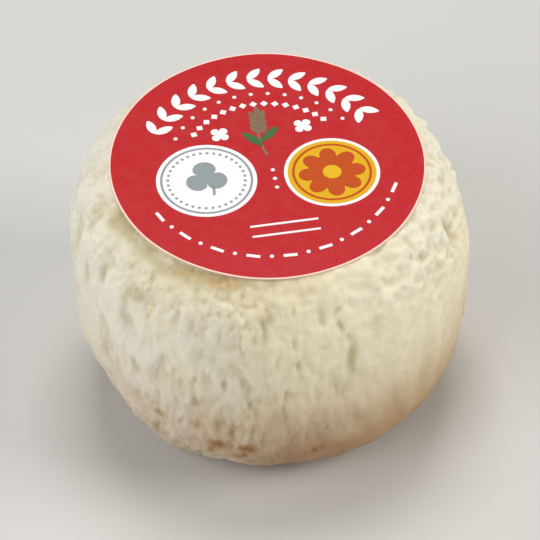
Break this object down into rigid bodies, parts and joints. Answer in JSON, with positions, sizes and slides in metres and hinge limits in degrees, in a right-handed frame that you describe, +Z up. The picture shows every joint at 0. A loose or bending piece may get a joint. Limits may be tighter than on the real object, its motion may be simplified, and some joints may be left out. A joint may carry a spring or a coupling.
{
  "type": "crottin goat cheese",
  "caption": "Small drum-shaped soft goat cheese with a wrinkled ivory rind and a round red paper label lying on its sloping top.",
  "frame": {"origin": "centre of the cheese's outline, on the surface that it stands on", "axes": "+Z up through the label, -Y towards the front, where the label slopes down by 2.5 degrees"},
  "size_m": [0.0504, 0.0498, 0.0364],
  "materials": {
    "white_rind": "matte, finely wrinkled mould rind, ivory with yellowish creases",
    "printed_paper": "smooth matte paper printed red, with yellow and white round fields"
  },
  "bodies": {
    "root": {"cheese_body": "white_rind", "paper_label": "printed_paper"}
  },
  "joints": []
}
